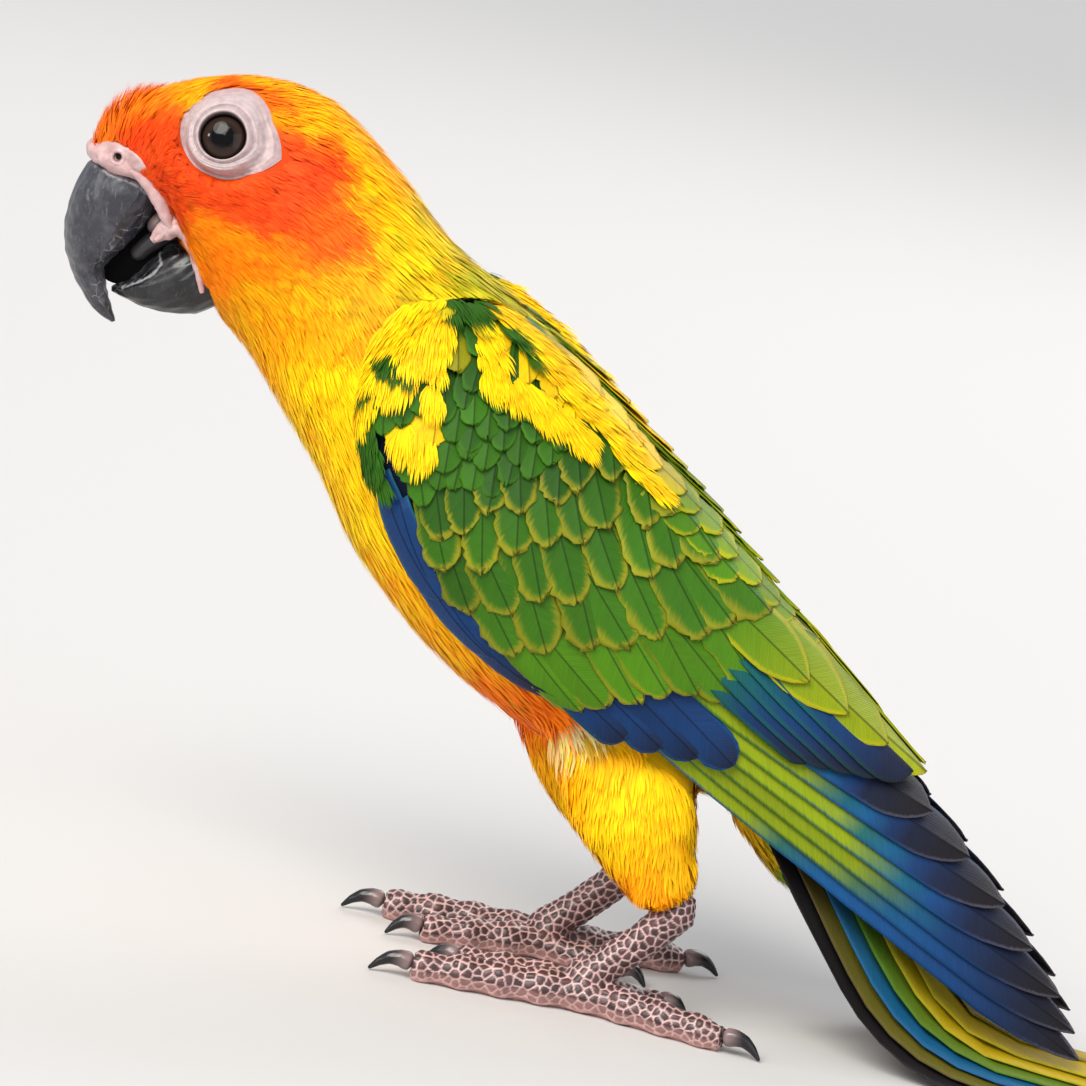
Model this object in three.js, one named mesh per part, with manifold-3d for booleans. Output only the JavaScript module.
// A sun conure standing on a level floor, as a life-size still model.
// Millimetres, +Z up. The bird faces -X and its left side faces -Y.
// The origin is on the floor, under the middle of the whole model.
import * as THREE from 'three';
import { mergeVertices } from 'three/addons/utils/BufferGeometryUtils.js';
import Module from 'manifold-3d';

const wasm = await Module();
wasm.setup();

// Driving dimensions: the whole bird
const GAP = 0.3;
const CORNER_SHARE = 1.15;
const MERGE_DISTANCE = 1e-5;
const SHOULDER = { x: -43.8, z: 99.8 };
const WING_SLOPE = THREE.MathUtils.degToRad(36.7);
const VANE_THICKNESS = 0.55;
const CORE_COVER = 1.3;
const SMALLEST_EDGE = 0.04;
const FLOOR_BLOCK = 500;
const BODY_SIDES = 26;

// Driving dimensions: the trunk, measured along the folded wing's line from the shoulder
const BARREL_WIDTH = [[-10, 19], [0, 21.5], [15, 23.5], [30, 24], [45, 23]];
const BARREL_TOP = [[-10, -11.5], [0, -12.3], [20, -12.8], [45, -12.5]];
const BARREL_BOTTOM = [[-10, 27], [0, 29.2], [20, 35], [35, 36], [50, 34.5]];
const TRUNK_WIDTH = [...BARREL_WIDTH, [60, 20], [75, 15.5], [88, 10], [93, 6.5]];
const TRUNK_TOP = [...BARREL_TOP, [60, -11.5], [75, -8.5], [88, -3], [93, 1]];
const TRUNK_BOTTOM = [...BARREL_BOTTOM, [62, 31], [76, 23.5], [88, 16], [93, 12]];
const TRUNK_STATIONS = [-10, -4, 2, 9, 17, 26, 35, 44, 53, 62, 70, 77, 84, 89, 93];
const TRUNK_END = [95, 6];

// Driving dimensions: the head's cross sections as crown point, throat point and half width
const HEAD_FRONT = [-103.4, 118.8];
const HEAD_SECTIONS = [
  [[-103.0, 121.8], [-102.4, 116.6], 4.5],
  [[-100.2, 125.2], [-95.8, 114.2], 8.4],
  [[-95.6, 128.6], [-89.9, 109.2], 11.2],
  [[-89.5, 131.6], [-84.9, 102.4], 13.6],
  [[-82.0, 133.8], [-80.0, 96.0], 15.0],
  [[-74.2, 134.0], [-76.8, 92.6], 15.5],
  [[-66.5, 132.2], [-74.2, 90.6], 15.7],
  [[-59.8, 128.2], [-72.2, 88.8], 16.0],
  [[-54.0, 123.5], [-70.6, 87.3], 16.7],
  [[-49.3, 119.1], [-69.2, 85.7], 17.8],
];
const HEAD_CUT = { x: -65.9, z: 108.4, lean: 17.5 };
const NECK_CUT = { station: -8.8, across: 9 };
const CUT_WIDTH = 80;
const CUT_HEIGHT = 90;

// Driving dimensions: bill, cere, tongue and eyes
const UPPER_BILL = [
  [[-103.2, 115.3], [-89.0, 112.6], 6.3],
  [[-104.9, 109.2], [-91.3, 108.6], 6.6],
  [[-105.2, 104.2], [-93.8, 104.2], 6.2],
  [[-104.2, 100.0], [-96.2, 100.8], 5.3],
  [[-101.9, 95.9], [-97.9, 98.6], 3.7],
  [[-98.7, 92.4], [-96.7, 94.9], 2.1],
];
const UPPER_BILL_ROOT = [-95.5, 115.2];
const UPPER_BILL_TIP = [-94.4, 90.3];
const LOWER_BILL = [
  [[-80.0, 107.4], [-75.6, 100.0], 4.8],
  [[-84.6, 106.4], [-78.2, 96.8], 6.0],
  [[-88.4, 104.6], [-82.2, 94.0], 6.2],
  [[-90.2, 102.0], [-86.8, 93.3], 5.7],
  [[-91.9, 99.2], [-90.5, 93.5], 4.7],
  [[-93.3, 97.4], [-94.0, 94.4], 3.2],
];
const LOWER_BILL_ROOT = [-77.0, 104.0];
const LOWER_BILL_TIP = [-96.3, 95.4];
const BILL_SIDES = 16;
const TONGUE = {
  from: [-84.5, 108.6], bend: [-89.6, 105.6], to: [-93.7, 101.0],
  height: 1.25, width: 2.2, sides: 8,
};
const TONGUE_RINGS = [0.12, 0.4, 0.7, 0.92];
const TONGUE_FULLNESS = { root: 1.15, heightLoss: 0.35, widthLoss: 0.4 };
const CERE = { x: -97.2, z: 115.2, length: 7.4, height: 2.7, width: 7.1, tilt: 16, sides: 12, rings: 6 };
const NOSTRIL = { x: -98.4, z: 116.7, radius: 0.65, depth: 2.4, sides: 8 };
const EYE = { x: -82.5, y: 12.9, z: 124.1, ball: 6.0, bulge: 1.0, sides: 14, steps: 6 };
const EYE_FACING = new THREE.Vector3(-0.1, 0.95, 0.26).normalize();
const EYE_RING = [[3.4, 0.36], [4.1, 0.85], [5.5, 0.45], [7.4, -0.9], [7.2, -2.2], [4.7, -0.7]];
const EYE_RING_DEPTH = 3;
const SOCKET = { lastAngle: 0.66 * Math.PI, steps: 5 };

// Driving dimensions: the wings, on the same line from the shoulder
const WING_WIDTH = [
  ...BARREL_WIDTH, [60, 20.4], [75, 17], [90, 14], [105, 11.6], [120, 9.6], [135, 8], [156, 6],
];
const WING_TOP = [
  ...BARREL_TOP, [60, -12], [75, -10.8], [90, -9.6], [105, -8.6], [120, -7.6], [135, -6], [156, -4],
];
const WING_BOTTOM = [
  ...BARREL_BOTTOM, [62, 32], [76, 29], [90, 26], [105, 23.5], [120, 20], [135, 16], [156, 12],
];
const STEEPEST_SIDE = 0.985;
const PAD_UPPER = [[-8, -1], [-3, -6], [5, -9.6], [20, -10.8], [45, -10.8], [62, -10], [78, -8]];
const PAD_LOWER = [
  [-8, 4], [-4, 10], [0, 14.5], [9, 19.8], [19, 24], [32, 26], [44, 25], [52, 22.5], [62, 18], [78, 11],
];
const PAD_STATIONS = [-8, -5, 0, 7, 16, 26, 37, 48, 59, 69, 78];
const PAD_ACROSS = 6;
const PAD_FLOOR = 0.6;
const PAD_EDGE = 1.4;
const PAD_CROWN = 0.4;
const PAD_DEPTH = [[-8, 1.6], [0, 3], [20, 3.4], [50, 3], [65, 2.2], [78, 1.2]];
const COVERT_ROWS = [
  { reach: 57, slant: 0.91, low: 17, high: -7, count: 6, length: 25, half: 3.4 },
  { reach: 45, slant: 0.85, low: 19.5, high: -8, count: 5, length: 20, half: 4.5 },
  { reach: 33, slant: 0.72, low: 20.5, high: -8, count: 5, length: 18, half: 4.6 },
  { reach: 21, slant: 0.58, low: 16.5, high: -7.5, count: 4, length: 17, half: 5.2 },
  { reach: 10, slant: 0.38, low: 9.5, high: -6.5, count: 3, length: 13, half: 4.9 },
];
const COVERT_LIFT = 1.9;
const TOP_LIFT_SHARE = 0.6;
const COVERT_TILT = 0.18;
const COVERT_BASE_LINE = 20;
const COVERT_LEAST_LEVEL = 2.6;
const COVERT_DROOP = { perStep: 0.45, from: 6, unruly: 3 };
const COVERT_UNRULY = { reach: 1.5, height: 0.2 };
const FLIGHT_TILT = THREE.MathUtils.degToRad(20);
const FLIGHT_LOW = 1.7;
const FLIGHT_LEVEL = 2.3;
const PRIMARIES = {
  half: 4.0, outerHalf: 3.3, rootIn: [61, 3], rootOut: [52, 15.5],
  reach: [109, 118.5, 128, 137, 145, 151, 154.5], rimIn: -6.5, rimOut: 1.0, rimCurve: 1.6,
};
const SECONDARIES = {
  count: 4, half: 4.2, high: 3.2,
  rootIn: [55, -6], rootOut: [60, 1], tipIn: [100, -7], tipOut: [90, -1.5],
};
const TERTIALS = {
  count: 3, half: 3.6, tilt: 0.1, high: 4.7, highStep: 0.7,
  roots: [42, 48, 54], tips: [86, 95, 103], across: [-8.4, -7.8, -7.2],
};
const PRIMARY_COVERTS = {
  count: 4, half: 2.9, low: 1.8, high: 4.4, tilt: 0.16,
  rootIn: [52, 9], rootOut: [44, 19], tipIn: [80, 8.6], tipOut: [66, 17],
};
const EDGE_LEVELS = { low: 1.2, high: 3.4, tilt: 0.1 };
const EDGE_FEATHERS = [
  { from: [5, 16.5], to: [37, 25.5], bow: 2.2, half: 2.3 },
  { from: [22, 22], to: [54, 22.2], bow: 2.6, half: 2.3 },
];

// Driving dimensions: a vane's rows of points and its width, from its root to its blunt tip
const VANE_SHAPE = { short: [0, 0.5, 0.84, 1], long: [0, 0.3, 0.62, 0.9, 1] };
const VANE_WIDTH = [[0, 0.62], [0.35, 0.95], [0.65, 1], [0.86, 0.8], [1, 0.26]];

// Driving dimensions: the tail, from its root down to the floor and along it
const TAIL_ROOT = [21.5, 34];
const TAIL_SLOPE = THREE.MathUtils.degToRad(50);
const TAIL_BEND_RADIUS = 34;
const TAIL_PAIRS = 6;
const TAIL_LONGEST = 130;
const TAIL_STEP = 12.4;
const TAIL_PITCH = [[0, 2.4], [30, 2.4], [50, 1.6], [62, 1.05], [140, 1.05]];
const TAIL_SPREAD = [[0, 1.1], [30, 1.7], [62, 2.5], [140, 2.5]];
const TAIL_ROLL = [[0, 26], [30, 24], [62, 7], [140, 4]];
const TAIL_HALF = [[0, 4.2], [40, 5.4], [90, 5.4], [130, 4.6]];
const TAIL_VANE = {
  root: 3, level: 0.4, aside: 1.0, inner: 0.25,
  rows: [0, 0.18, 0.32, 0.46, 0.62, 0.92, 1],
};
const TAIL_LANDED = 62;
const TAIL_TIP = { from: 0.9, taper: 7.5 };
const TAIL_CORE = [
  [-7, 7.5, 6.0, 6.2],
  [-1, 7.5, 7.2, 8.0],
  [7, 7.4, 7.4, 8.6],
  [15, 7.2, 6.6, 8.0],
  [21, 7.0, 4.6, 6.0],
];
const TAIL_CORE_ENDS = [[-9, 7.5], [24, 7]];
const TAIL_CORE_SIDES = 14;

// Driving dimensions: legs, toes and claws
const LEG_SIDE = 14.5;
const FAR_LEG_STEP = -7;
const THIGH = [
  [-4.5, 11.8, 51, 8, 4.6],
  [-3.0, 12.0, 45.5, 11.4, 5.2],
  [0.5, 13.4, 38, 11.6, 6.8],
  [3.2, 14.5, 31, 10, 7.0],
  [6.6, 14.5, 24.5, 7.4, 5.8],
  [9.0, 14.5, 20.2, 4.8, 4.4],
];
const THIGH_TOP = [-5, 11, 53.5];
const THIGH_END = [9.8, 14.5, 18.4];
const THIGH_SLANT = 0.35;
const THIGH_SIDES = 14;
const SOLE = 0.25;
const LIMB_END_SHARE = 0.5;
const SHANK_SIDES = 10;
const TOE_SIDES = 8;
const SHANK = [
  [12.6, 0, 21.5, 2.2], [12.2, 0, 18.6, 3.3], [8, 0, 13.2, 3.0],
  [3, 0, 8, 3.0], [-0.5, 0, 4.2, 3.7], [-2, 0, 3.2, 3.0],
];
const TOES = [
  {
    name: 'outer_front', claw: 7.6,
    path: [[1, 1, 3.2], [-6, 2, 3.1], [-13, 2.8, 3.0], [-20, 3.2, 2.9], [-27, 3.4, 2.4]],
  },
  {
    name: 'inner_front', claw: 6.4,
    path: [[1, -1.5, 3.0], [-6, -4, 2.9], [-13, -5.6, 2.7], [-20, -7, 2.3]],
  },
  {
    name: 'outer_rear', claw: 7.2,
    path: [[-1, 1, 3.2], [5, 2.6, 3.0], [11, 4.6, 2.9], [17, 6.4, 2.7], [23, 8, 2.3]],
  },
  {
    name: 'inner_rear', claw: 5.4,
    path: [[-1, -1.5, 2.8], [4, -3.6, 2.5], [8.5, -5.2, 2.3], [12.5, -6.4, 2.1]],
  },
];
const CLAW = {
  base: 1.75, tip: 0.3, ahead: 0.6, above: 0.5, arch: 0.6, archReach: 1.1,
  clear: 0.05, hook: 0.18, thinning: 1.2, sides: 7,
};
const CLAW_ROWS = [0, 0.25, 0.5, 0.75, 1];

const vector = (x, y, z) => new THREE.Vector3(x, y, z);

// A smooth curve through [place, value] knots, level outside them
function profile(knots) {
  const last = knots.length - 1;
  const rise = (i) => (knots[i + 1][1] - knots[i][1]) / (knots[i + 1][0] - knots[i][0]);
  const slope = (i) => {
    const before = rise(Math.max(i - 1, 0));
    const after = rise(Math.min(i, last - 1));
    return before * after > 0 ? (2 * before * after) / (before + after) : 0;
  };
  return (place) => {
    const at = THREE.MathUtils.clamp(place, knots[0][0], knots[last][0]);
    let i = 0;
    while (i < last - 1 && at > knots[i + 1][0]) i += 1;
    const span = knots[i + 1][0] - knots[i][0];
    const t = (at - knots[i][0]) / span;
    const start = (1 + 2 * t) * (1 - t) ** 2 * knots[i][1] + t * (1 - t) ** 2 * span * slope(i);
    const end = t * t * (3 - 2 * t) * knots[i + 1][1] + t * t * (t - 1) * span * slope(i + 1);
    return start + end;
  };
}

// Seeded chance from -0.5 to 0.5, so that feathers vary alike each time
const CHANCE = { factor: 1664525, step: 1013904223, range: 2 ** 32 };

function chance(seed) {
  let state = seed;
  return () => {
    state = (state * CHANCE.factor + CHANCE.step) % CHANCE.range;
    return state / CHANCE.range - 0.5;
  };
}

// A geometry's merged points and triangles as a solid, turned to face out
function solid(geometry) {
  const bare = geometry.clone();
  bare.deleteAttribute('normal');
  bare.deleteAttribute('uv');
  const merged = mergeVertices(bare, MERGE_DISTANCE);
  const vertProperties = new Float32Array(merged.getAttribute('position').array);
  const corner = (i) => new THREE.Vector3().fromArray(vertProperties, 3 * i);
  const kept = [];
  const index = merged.index.array;
  let volume = 0;
  for (let i = 0; i < index.length; i += 3) {
    const [a, b, c] = [index[i], index[i + 1], index[i + 2]];
    if (a !== b && b !== c && a !== c) {
      kept.push(a, b, c);
      volume += corner(a).dot(corner(b).cross(corner(c)));
    }
  }
  const triVerts = new Uint32Array(volume < 0 ? kept.reverse() : kept);
  return new wasm.Manifold(new wasm.Mesh({ numProp: 3, vertProperties, triVerts }));
}

// A solid larger all round by the gap that parts keep, for cutting its neighbours
function grown(body) {
  const { vertProperties, triVerts } = body.getMesh();
  const geometry = new THREE.BufferGeometry();
  geometry.setAttribute('position', new THREE.Float32BufferAttribute(vertProperties, 3));
  geometry.setIndex(new THREE.Uint32BufferAttribute(triVerts, 1));
  geometry.computeVertexNormals();
  const [at, normal] = [geometry.getAttribute('position'), geometry.getAttribute('normal')];
  for (let i = 0; i < at.count; i += 1) {
    const out = new THREE.Vector3().fromBufferAttribute(normal, i);
    const place = new THREE.Vector3().fromBufferAttribute(at, i).addScaledVector(out, GAP * CORNER_SHARE);
    at.setXYZ(i, place.x, place.y, place.z);
  }
  return solid(geometry);
}

// The largest closed surface of a solid
function largest(body) {
  const pieces = body.decompose();
  return pieces.reduce((best, piece) => (piece.volume() > best.volume() ? piece : best));
}

// A solid as a geometry
function geometryOf(body) {
  const { vertProperties, triVerts } = largest(body.simplify(SMALLEST_EDGE)).getMesh();
  const geometry = new THREE.BufferGeometry();
  geometry.setAttribute('position', new THREE.Float32BufferAttribute(vertProperties, 3));
  geometry.setIndex(new THREE.Uint32BufferAttribute(triVerts, 1));
  geometry.computeVertexNormals();
  return geometry;
}

// A closed body through rings, each a centre and two half axes, from one end point to the other
function loft(rings, start, end, around) {
  const ball = new THREE.SphereGeometry(1, around, rings.length + 1);
  const at = ball.getAttribute('position');
  for (let i = 0; i < at.count; i += 1) {
    const y = THREE.MathUtils.clamp(at.getY(i), -1, 1);
    const row = Math.round((Math.acos(y) / Math.PI) * (rings.length + 1));
    let place = row === 0 ? start : end;
    if (row > 0 && row <= rings.length) {
      const angle = Math.atan2(at.getZ(i), at.getX(i));
      const { centre, first, second } = rings[row - 1];
      place = centre.clone().addScaledVector(first, Math.cos(angle));
      place.addScaledVector(second, Math.sin(angle));
    }
    at.setXYZ(i, place.x, place.y, place.z);
  }
  return solid(ball);
}

// A ring of the body or bill: upright, between an upper and a lower point in the middle plane
function uprightRing([upper, lower, half]) {
  const high = vector(upper[0], 0, upper[1]);
  const low = vector(lower[0], 0, lower[1]);
  const first = high.clone().sub(low).multiplyScalar(0.5);
  return { centre: high.add(low).multiplyScalar(0.5), first, second: vector(0, half, 0) };
}

// A curved sheet with thickness, its two faces split alike: place(u, v, face) gives each point
function sheet(steps, across, place) {
  const flat = new THREE.PlaneGeometry(1, 1, steps, across);
  const at = flat.getAttribute('position');
  const count = at.count;
  const points = [];
  for (const face of [1, 0]) {
    for (let i = 0; i < count; i += 1) {
      points.push(...place(at.getX(i) + 0.5, 2 * at.getY(i), face).toArray());
    }
  }
  const upper = [...flat.index.array];
  const index = [...upper];
  for (let i = 0; i < upper.length; i += 3) {
    index.push(upper[i] + count, upper[i + 2] + count, upper[i + 1] + count);
  }
  const row = steps + 1;
  const rim = [];
  for (let i = 0; i < steps; i += 1) rim.push(i);
  for (let j = 0; j < across; j += 1) rim.push(j * row + steps);
  for (let i = steps; i > 0; i -= 1) rim.push(across * row + i);
  for (let j = across; j > 0; j -= 1) rim.push(j * row);
  rim.forEach((p, i) => {
    const q = rim[(i + 1) % rim.length];
    index.push(p, q, p + count, q, q + count, p + count);
  });
  const geometry = new THREE.BufferGeometry();
  geometry.setAttribute('position', new THREE.Float32BufferAttribute(points, 3));
  geometry.setIndex(index);
  return solid(geometry);
}

// Trunk line to model: a along the folded wing from the shoulder, b down across it
function onTrunk(a, b, y = 0) {
  const x = SHOULDER.x + a * Math.cos(WING_SLOPE) - b * Math.sin(WING_SLOPE);
  const z = SHOULDER.z - a * Math.sin(WING_SLOPE) - b * Math.cos(WING_SLOPE);
  return vector(x, y, z);
}

const trunkTop = profile(TRUNK_TOP);
const trunkBottom = profile(TRUNK_BOTTOM);
const trunkWidth = profile(TRUNK_WIDTH);

function trunkSection(a) {
  const high = onTrunk(a, trunkTop(a));
  const low = onTrunk(a, trunkBottom(a));
  return [[high.x, high.z], [low.x, low.z], trunkWidth(a)];
}

// Head, neck and trunk in one
function wholeBody() {
  const rings = [...HEAD_SECTIONS, ...TRUNK_STATIONS.map(trunkSection)].map(uprightRing);
  const front = vector(HEAD_FRONT[0], 0, HEAD_FRONT[1]);
  return loft(rings, front, onTrunk(TRUNK_END[0], TRUNK_END[1]), BODY_SIDES);
}

function block(width, depth, height, centre, turn = 0) {
  const geometry = new THREE.BoxGeometry(width, depth, height);
  geometry.rotateY(turn);
  geometry.translate(centre.x, centre.y, centre.z);
  return solid(geometry);
}

function billHalf(sections, root, tip) {
  const ends = [root, tip].map(([x, z]) => vector(x, 0, z));
  return loft(sections.map(uprightRing), ends[0], ends[1], BILL_SIDES);
}

function cere() {
  const geometry = new THREE.SphereGeometry(1, CERE.sides, CERE.rings);
  geometry.scale(CERE.length, CERE.width, CERE.height);
  geometry.rotateY(THREE.MathUtils.degToRad(CERE.tilt));
  geometry.translate(CERE.x, 0, CERE.z);
  return solid(geometry);
}

function nostril(side) {
  const { radius, depth, sides } = NOSTRIL;
  const geometry = new THREE.CylinderGeometry(radius, radius, 2 * depth, sides);
  geometry.translate(NOSTRIL.x, side * CERE.width, NOSTRIL.z);
  return solid(geometry);
}

function tongue() {
  const ends = [TONGUE.from, TONGUE.bend, TONGUE.to].map(([x, z]) => vector(x, 0, z));
  const curve = new THREE.CatmullRomCurve3(ends);
  const { root, heightLoss, widthLoss } = TONGUE_FULLNESS;
  const rings = TONGUE_RINGS.map((t) => {
    const along = curve.getTangent(t);
    const first = vector(-along.z, 0, along.x).setLength(TONGUE.height * (root - heightLoss * t));
    const second = vector(0, TONGUE.width * (root - widthLoss * t), 0);
    return { centre: curve.getPoint(t), first, second };
  });
  return loft(rings, ends[0], ends[2], TONGUE.sides);
}

// A form turned about the eye's own axis, with heights along it counted from the skin
function roundTheEye(points, side) {
  const outline = points.map(([r, h]) => new THREE.Vector2(r, h));
  const geometry = new THREE.LatheGeometry(outline, EYE.sides);
  geometry.applyQuaternion(new THREE.Quaternion().setFromUnitVectors(vector(0, 1, 0), EYE_FACING));
  geometry.translate(EYE.x, EYE.y, EYE.z);
  geometry.scale(1, side, 1);
  return solid(geometry);
}

// Points of the eyeball's outline from its back to the given angle
function ballOutline(radius, lastAngle, steps) {
  const points = [];
  for (let i = 0; i <= steps; i += 1) {
    const angle = (lastAngle * i) / steps;
    points.push([radius * Math.sin(angle), EYE.bulge - EYE.ball - radius * Math.cos(angle)]);
  }
  return points;
}

function eye(side) {
  const outline = ballOutline(EYE.ball, Math.PI, EYE.steps);
  outline[EYE.steps][0] = 0;
  return roundTheEye(outline, side);
}

function eyeRing(side) {
  return roundTheEye([...EYE_RING, EYE_RING[0]], side);
}

// The room in the head for an eye and its ring, open to the outside
function eyeSocket(side) {
  const [outer, under] = [EYE_RING[3], EYE_RING[4]];
  const back = ballOutline(EYE.ball + GAP, SOCKET.lastAngle, SOCKET.steps);
  const wall = outer[0] + GAP;
  const lip = [under[0] + GAP, under[1] - GAP];
  const rim = [lip, [wall, outer[1]], [wall, EYE_RING_DEPTH], [0, EYE_RING_DEPTH]];
  return roundTheEye([...back, ...rim], side);
}

const wingTop = profile(WING_TOP);
const wingBottom = profile(WING_BOTTOM);
const wingWidth = profile(WING_WIDTH);
const padUpper = profile(PAD_UPPER);
const padLower = profile(PAD_LOWER);
const padDepth = profile(PAD_DEPTH);

// A point of the folded wing: over (a, b) on the flank, h out from it
function onWing(a, b, h, side) {
  const middle = (wingTop(a) + wingBottom(a)) / 2;
  const depth = (wingBottom(a) - wingTop(a)) / 2;
  const width = wingWidth(a);
  const up = THREE.MathUtils.clamp((middle - b) / depth, -STEEPEST_SIDE, STEEPEST_SIDE);
  const out = Math.sqrt(1 - up * up);
  const normal = new THREE.Vector2(-up / depth, out / width).normalize();
  return onTrunk(a, middle - up * depth + h * normal.x, side * (width * out + h * normal.y));
}

const vaneWidth = profile(VANE_WIDTH);

// A feather on a wing: from and to are (a, b) places, low and high its heights at root and tip
function wingVane({ from, to, half, low, high, tilt, bow = 0, rows = VANE_SHAPE.short }, side) {
  const [da, db] = [to[0] - from[0], to[1] - from[1]];
  const length = Math.hypot(da, db);
  return sheet(rows.length - 1, 1, (u, v, face) => {
    const along = rows[Math.round(u * (rows.length - 1))];
    const across = v * half * vaneWidth(along);
    const a = from[0] + da * along - (db / length) * across;
    const b = from[1] + db * along + (da / length) * across + bow * 4 * along * (1 - along);
    const h = THREE.MathUtils.lerp(low, high, along) + tilt * across + face * VANE_THICKNESS;
    return onWing(a, b, h, side);
  });
}

// The fleshy wing under the feathers, a curved pad along the flank
function wingPad(side) {
  return sheet(PAD_STATIONS.length - 1, PAD_ACROSS, (u, v, face) => {
    const a = PAD_STATIONS[Math.round(u * (PAD_STATIONS.length - 1))];
    const middle = (wingTop(a) + wingBottom(a)) / 2;
    const depth = (wingBottom(a) - wingTop(a)) / 2;
    const [first, last] = [padUpper, padLower].map((edge) => Math.acos((middle - edge(a)) / depth));
    const b = middle - depth * Math.cos(THREE.MathUtils.lerp(first, last, (v + 1) / 2));
    const round = Math.sqrt(Math.max(0, 1 - v ** 4));
    const h = PAD_FLOOR + (face ? PAD_EDGE + (padDepth(a) - PAD_EDGE + PAD_CROWN) * round : 0);
    return onWing(a, b, h, side);
  });
}

function between(first, last, share) {
  return first.map((value, i) => THREE.MathUtils.lerp(value, last[i], share));
}

// One feather of a group that is spread like a fan between an inner and an outer one
function fanned({ count, rootIn, rootOut, tipIn, tipOut, ...looks }, i) {
  const share = i / (count - 1);
  return { ...looks, from: between(rootIn, rootOut, share), to: between(tipIn, tipOut, share) };
}

function covertVanes(side, vary) {
  const vanes = [];
  for (const row of COVERT_ROWS) {
    for (let i = 0; i < row.count; i += 1) {
      const b = THREE.MathUtils.lerp(row.low, row.high, i / (row.count - 1));
      const a = row.reach + (COVERT_BASE_LINE - b) * row.slant + COVERT_UNRULY.reach * vary();
      const { perStep, from: level, unruly } = COVERT_DROOP;
      const droop = THREE.MathUtils.degToRad(perStep * (b - level) + unruly * vary());
      const from = [a - row.length * Math.cos(droop), b - row.length * Math.sin(droop)];
      const low = PAD_FLOOR + padDepth(a - row.length) - CORE_COVER;
      const lift = COVERT_LIFT * (i === row.count - 1 ? TOP_LIFT_SHARE : 1);
      const ground = Math.max(PAD_FLOOR + padDepth(a), COVERT_LEAST_LEVEL);
      const high = ground + lift + COVERT_UNRULY.height * vary();
      vanes.push(wingVane({ from, to: [a, b], half: row.half, low, high, tilt: COVERT_TILT }, side));
    }
  }
  return vanes;
}

function flightVanes(side, vary) {
  const vanes = [];
  const tilt = Math.tan(FLIGHT_TILT);
  const common = { low: FLIGHT_LOW, high: FLIGHT_LEVEL, tilt, rows: VANE_SHAPE.long };
  const add = (vane) => vanes.push(wingVane({ ...common, ...vane }, side));
  PRIMARIES.reach.forEach((reach, i) => {
    const share = i / (PRIMARIES.reach.length - 1);
    const from = between(PRIMARIES.rootIn, PRIMARIES.rootOut, share);
    const rim = THREE.MathUtils.lerp(PRIMARIES.rimIn, PRIMARIES.rimOut, share ** PRIMARIES.rimCurve);
    const half = THREE.MathUtils.lerp(PRIMARIES.half, PRIMARIES.outerHalf, share);
    add({ from, to: [reach + vary(), rim], half });
  });
  for (let i = 0; i < SECONDARIES.count; i += 1) add(fanned(SECONDARIES, i));
  for (let i = 0; i < TERTIALS.count; i += 1) {
    const { roots, tips, across, ...shape } = TERTIALS;
    const high = shape.high - shape.highStep * i;
    add({ ...shape, from: [roots[i], across[i]], to: [tips[i], across[i]], high });
  }
  for (let i = 0; i < PRIMARY_COVERTS.count; i += 1) add(fanned(PRIMARY_COVERTS, i));
  for (const feather of EDGE_FEATHERS) add({ ...EDGE_LEVELS, ...feather });
  return vanes;
}

function wing(side, seed) {
  const vary = chance(seed);
  const parts = [wingPad(side), ...flightVanes(side, vary), ...covertVanes(side, vary)];
  return wasm.Manifold.union(parts);
}

// The tail's line: s along it from the root, n out from its underside, y across
function onTail(s, n, y) {
  const drop = TAIL_ROOT[1] - TAIL_BEND_RADIUS * (1 - Math.cos(TAIL_SLOPE));
  const straight = drop / Math.sin(TAIL_SLOPE);
  const bend = TAIL_BEND_RADIUS * TAIL_SLOPE;
  const turned = THREE.MathUtils.clamp((s - straight) / TAIL_BEND_RADIUS, 0, TAIL_SLOPE);
  const slope = TAIL_SLOPE - turned;
  const first = Math.min(s, straight);
  const last = Math.max(s - straight - bend, 0);
  const round = TAIL_BEND_RADIUS * (Math.sin(TAIL_SLOPE) - Math.sin(slope));
  const fall = TAIL_BEND_RADIUS * (Math.cos(slope) - Math.cos(TAIL_SLOPE));
  const x = TAIL_ROOT[0] + first * Math.cos(TAIL_SLOPE) + round + last;
  const z = TAIL_ROOT[1] - first * Math.sin(TAIL_SLOPE) - fall;
  return vector(x + n * Math.sin(slope), y, z + n * Math.cos(slope));
}

const tailPitch = profile(TAIL_PITCH);
const tailSpread = profile(TAIL_SPREAD);
const tailRoll = profile(TAIL_ROLL);
const tailHalf = profile(TAIL_HALF);

// One tail feather: pair 0 is the long middle pair, which lies over the others
function tailVane(pair, side) {
  const { root, rows, level, aside, inner } = TAIL_VANE;
  const length = TAIL_LONGEST - pair * TAIL_STEP;
  return sheet(rows.length - 1, 1, (u, v, face) => {
    const along = rows[Math.round(u * (rows.length - 1))];
    const s = THREE.MathUtils.lerp(root, length, along);
    const above = (length - Math.max(s, TAIL_LANDED)) / TAIL_STEP;
    const half = tailHalf(s) * (1 - TAIL_TIP.taper * Math.max(along - TAIL_TIP.from, 0));
    const roll = THREE.MathUtils.degToRad(tailRoll(s));
    const n = tailPitch(s) * above + level + face * VANE_THICKNESS - v * half * Math.sin(roll);
    const y = aside + tailSpread(s) * pair + (v + inner) * half * Math.cos(roll);
    return onTail(s, n, side * y);
  });
}

function tailCore() {
  const rings = TAIL_CORE.map(([s, n, depth, width]) => {
    const centre = onTail(s, n, 0);
    return { centre, first: onTail(s, n + depth, 0).sub(centre), second: vector(0, width, 0) };
  });
  const ends = TAIL_CORE_ENDS.map(([s, n]) => onTail(s, n, 0));
  return loft(rings, ends[0], ends[1], TAIL_CORE_SIDES);
}

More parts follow.
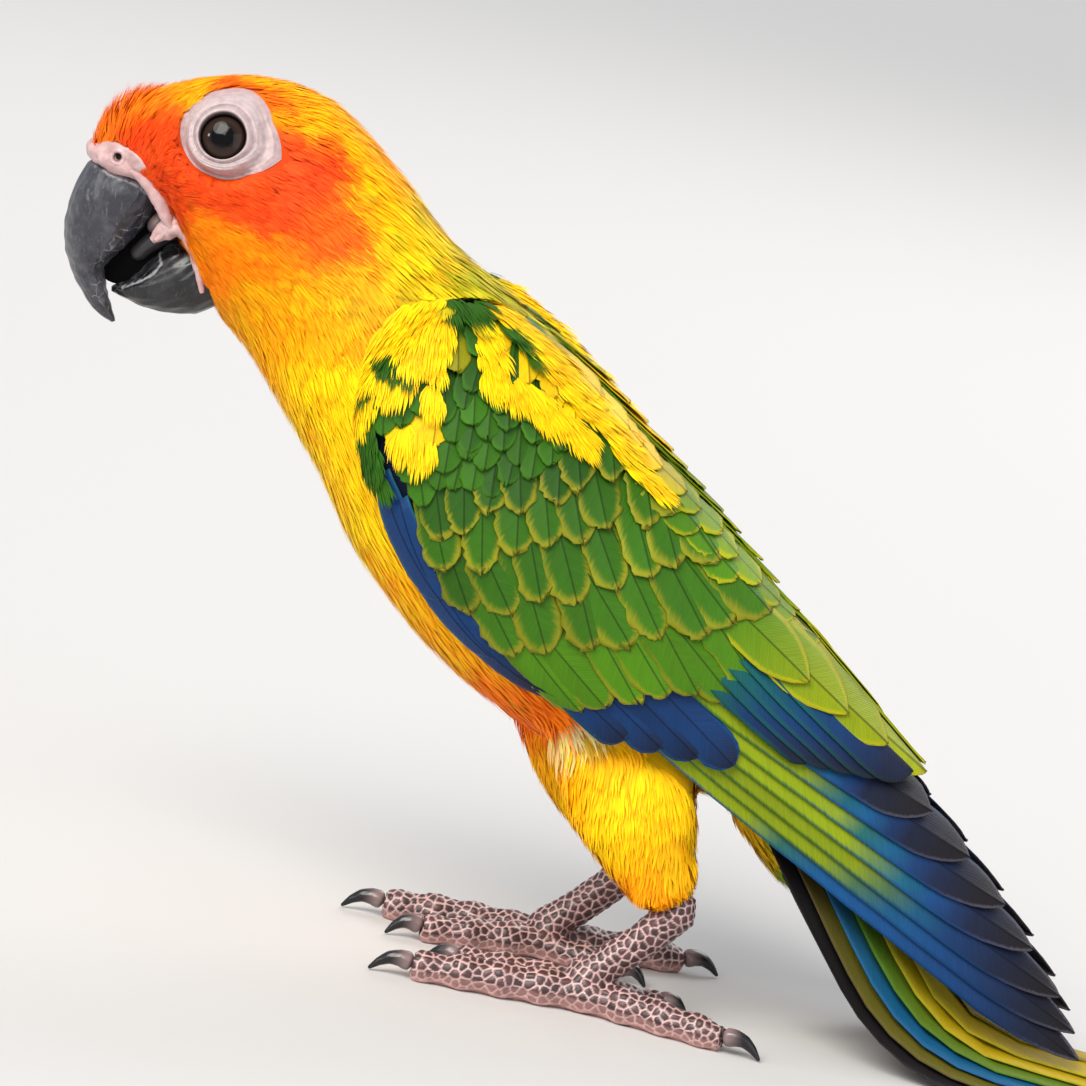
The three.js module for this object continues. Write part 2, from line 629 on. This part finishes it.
function tail() {
  const parts = [tailCore()];
  for (let pair = 0; pair < TAIL_PAIRS; pair += 1) {
    parts.push(tailVane(pair, 1), tailVane(pair, -1));
  }
  return wasm.Manifold.union(parts);
}

function thigh(side, step) {
  const rings = THIGH.map(([x, y, z, length, width]) => ({
    centre: vector(x + step, side * y, z),
    first: vector(length, 0, THIGH_SLANT * length),
    second: vector(0, width, 0),
  }));
  const ends = [THIGH_TOP, THIGH_END].map(([x, y, z]) => vector(x + step, side * y, z));
  return loft(rings, ends[0], ends[1], THIGH_SIDES);
}

// A round limb through points with a radius each
function limb(points, around) {
  const curve = new THREE.CatmullRomCurve3(points.map((p) => p.centre));
  const rings = points.map(({ centre, radius }, i) => {
    const along = curve.getTangent(i / (points.length - 1));
    const first = vector(0, 1, 0).cross(along).setLength(radius);
    return { centre, first, second: along.clone().cross(first).setLength(radius) };
  });
  const ends = [0, points.length - 1].map((i) => {
    const reach = (i === 0 ? -1 : 1) * LIMB_END_SHARE * points[i].radius;
    return points[i].centre.clone().addScaledVector(curve.getTangent(i === 0 ? 0 : 1), reach);
  });
  return loft(rings, ends[0], ends[1], around);
}

function toePoint([x, y, radius], side, step) {
  return { centre: vector(x + step, side * (LEG_SIDE + y), radius - SOLE), radius };
}

function claw({ path, claw: length }, side, step) {
  const last = toePoint(path[path.length - 1], side, step).centre;
  const before = toePoint(path[path.length - 2], side, step).centre;
  const ahead = last.clone().sub(before).setZ(0).normalize();
  const root = last.clone().addScaledVector(ahead, CLAW.ahead).setZ(last.z + CLAW.above);
  const drop = root.z - CLAW.tip - CLAW.clear;
  const points = CLAW_ROWS.map((t) => {
    const rise = CLAW.arch * Math.sin(Math.PI * Math.min(1, CLAW.archReach * t)) - drop * t * t;
    const centre = root.clone().addScaledVector(ahead, length * (t - CLAW.hook * t * t));
    centre.setZ(root.z + rise);
    return { centre, radius: THREE.MathUtils.lerp(CLAW.base, CLAW.tip, t ** CLAW.thinning) };
  });
  return limb(points, CLAW.sides);
}

function shank(side, step) {
  const points = SHANK.map(([x, y, z, radius]) => {
    const centre = vector(x + step, side * (LEG_SIDE + y), z);
    return { centre, radius };
  });
  return limb(points, SHANK_SIDES);
}

function foot(side, step) {
  const parts = [shank(side, step)];
  for (const toe of TOES) parts.push(limb(toe.path.map((p) => toePoint(p, side, step)), TOE_SIDES));
  return wasm.Manifold.union(parts);
}

const underFloor = block(FLOOR_BLOCK, FLOOR_BLOCK, FLOOR_BLOCK, vector(0, 0, -FLOOR_BLOCK / 2));

// The colours of the sub-parts
const looks = {
  orange: new THREE.MeshStandardMaterial({ color: 0xf07a1a, roughness: 0.85, metalness: 0 }),
  yellow: new THREE.MeshStandardMaterial({ color: 0xf2c21c, roughness: 0.85, metalness: 0 }),
  green: new THREE.MeshStandardMaterial({ color: 0x3f7a24, roughness: 0.7, metalness: 0 }),
  teal: new THREE.MeshStandardMaterial({ color: 0x2b6f5e, roughness: 0.7, metalness: 0 }),
  slate: new THREE.MeshStandardMaterial({ color: 0x3a3a3f, roughness: 0.4, metalness: 0 }),
  claw: new THREE.MeshStandardMaterial({ color: 0x1f1a1b, roughness: 0.35, metalness: 0 }),
  pale: new THREE.MeshStandardMaterial({ color: 0xe6d2cf, roughness: 0.6, metalness: 0 }),
  scale: new THREE.MeshStandardMaterial({ color: 0x7d615f, roughness: 0.7, metalness: 0 }),
  eye: new THREE.MeshStandardMaterial({ color: 0x120a08, roughness: 0.08, metalness: 0 }),
};

const model = new THREE.Group();

function addNode(name, body, material) {
  const mesh = new THREE.Mesh(geometryOf(body), material);
  mesh.name = name;
  model.add(mesh);
  return mesh;
}

// Head, neck and torso are one form parted by two thin cuts
const headLean = THREE.MathUtils.degToRad(HEAD_CUT.lean);
const headCut = block(GAP, CUT_WIDTH, CUT_HEIGHT, vector(HEAD_CUT.x, 0, HEAD_CUT.z), headLean);
const neckMiddle = onTrunk(NECK_CUT.station, NECK_CUT.across);
const neckCut = block(GAP, CUT_WIDTH, CUT_HEIGHT, neckMiddle, WING_SLOPE);
const lengths = wholeBody().subtract(headCut).subtract(neckCut).decompose();
const frontOf = (piece) => piece.boundingBox().min[0];
const [headForm, neckForm, torsoForm] = lengths.sort((p, q) => frontOf(p) - frontOf(q));

const billUpper = billHalf(UPPER_BILL, UPPER_BILL_ROOT, UPPER_BILL_TIP);
const billLower = billHalf(LOWER_BILL, LOWER_BILL_ROOT, LOWER_BILL_TIP);
const [upperRoom, lowerRoom] = [grown(billUpper), grown(billLower)];
const faceRooms = [upperRoom, lowerRoom, grown(cere()), grown(tongue())];
let head = faceRooms.reduce((body, room) => body.subtract(room), headForm);
let cereBody = cere().subtract(upperRoom);
for (const side of [-1, 1]) {
  const label = side < 0 ? 'left' : 'right';
  head = head.subtract(eyeSocket(side));
  cereBody = cereBody.subtract(nostril(side));
  addNode(`eye_${label}`, eye(side), looks.eye);
  addNode(`eye_ring_${label}`, eyeRing(side), looks.pale);
}
addNode('head', head, looks.orange);
addNode('cere', cereBody, looks.pale);
addNode('bill_upper', billUpper, looks.slate);
addNode('bill_lower', billLower, looks.slate);
addNode('tongue', tongue().subtract(upperRoom).subtract(lowerRoom), looks.slate);
addNode('neck', neckForm, looks.yellow);
addNode('torso', torsoForm, looks.yellow);

const bodyRoom = grown(wholeBody());
addNode('wing_left', wing(-1, 11), looks.green);
addNode('wing_right', wing(1, 23), looks.green);
addNode('tail', tail().subtract(bodyRoom).subtract(underFloor), looks.teal);
for (const side of [-1, 1]) {
  const label = side < 0 ? 'left' : 'right';
  const step = side < 0 ? 0 : FAR_LEG_STEP;
  const clawRoom = (toe) => grown(claw(toe, side, step));
  const footBody = TOES.reduce((body, toe) => body.subtract(clawRoom(toe)), foot(side, step));
  addNode(`foot_${label}`, footBody.subtract(underFloor), looks.scale);
  const thighBody = thigh(side, step).subtract(bodyRoom).subtract(grown(shank(side, step)));
  addNode(`thigh_${label}`, thighBody, looks.yellow);
  for (const toe of TOES) addNode(`claw_${toe.name}_${label}`, claw(toe, side, step), looks.claw);
}

const box = new THREE.Box3().setFromObject(model);
const middle = box.getCenter(new THREE.Vector3());
model.position.set(-middle.x, -middle.y, 0);

export default model;
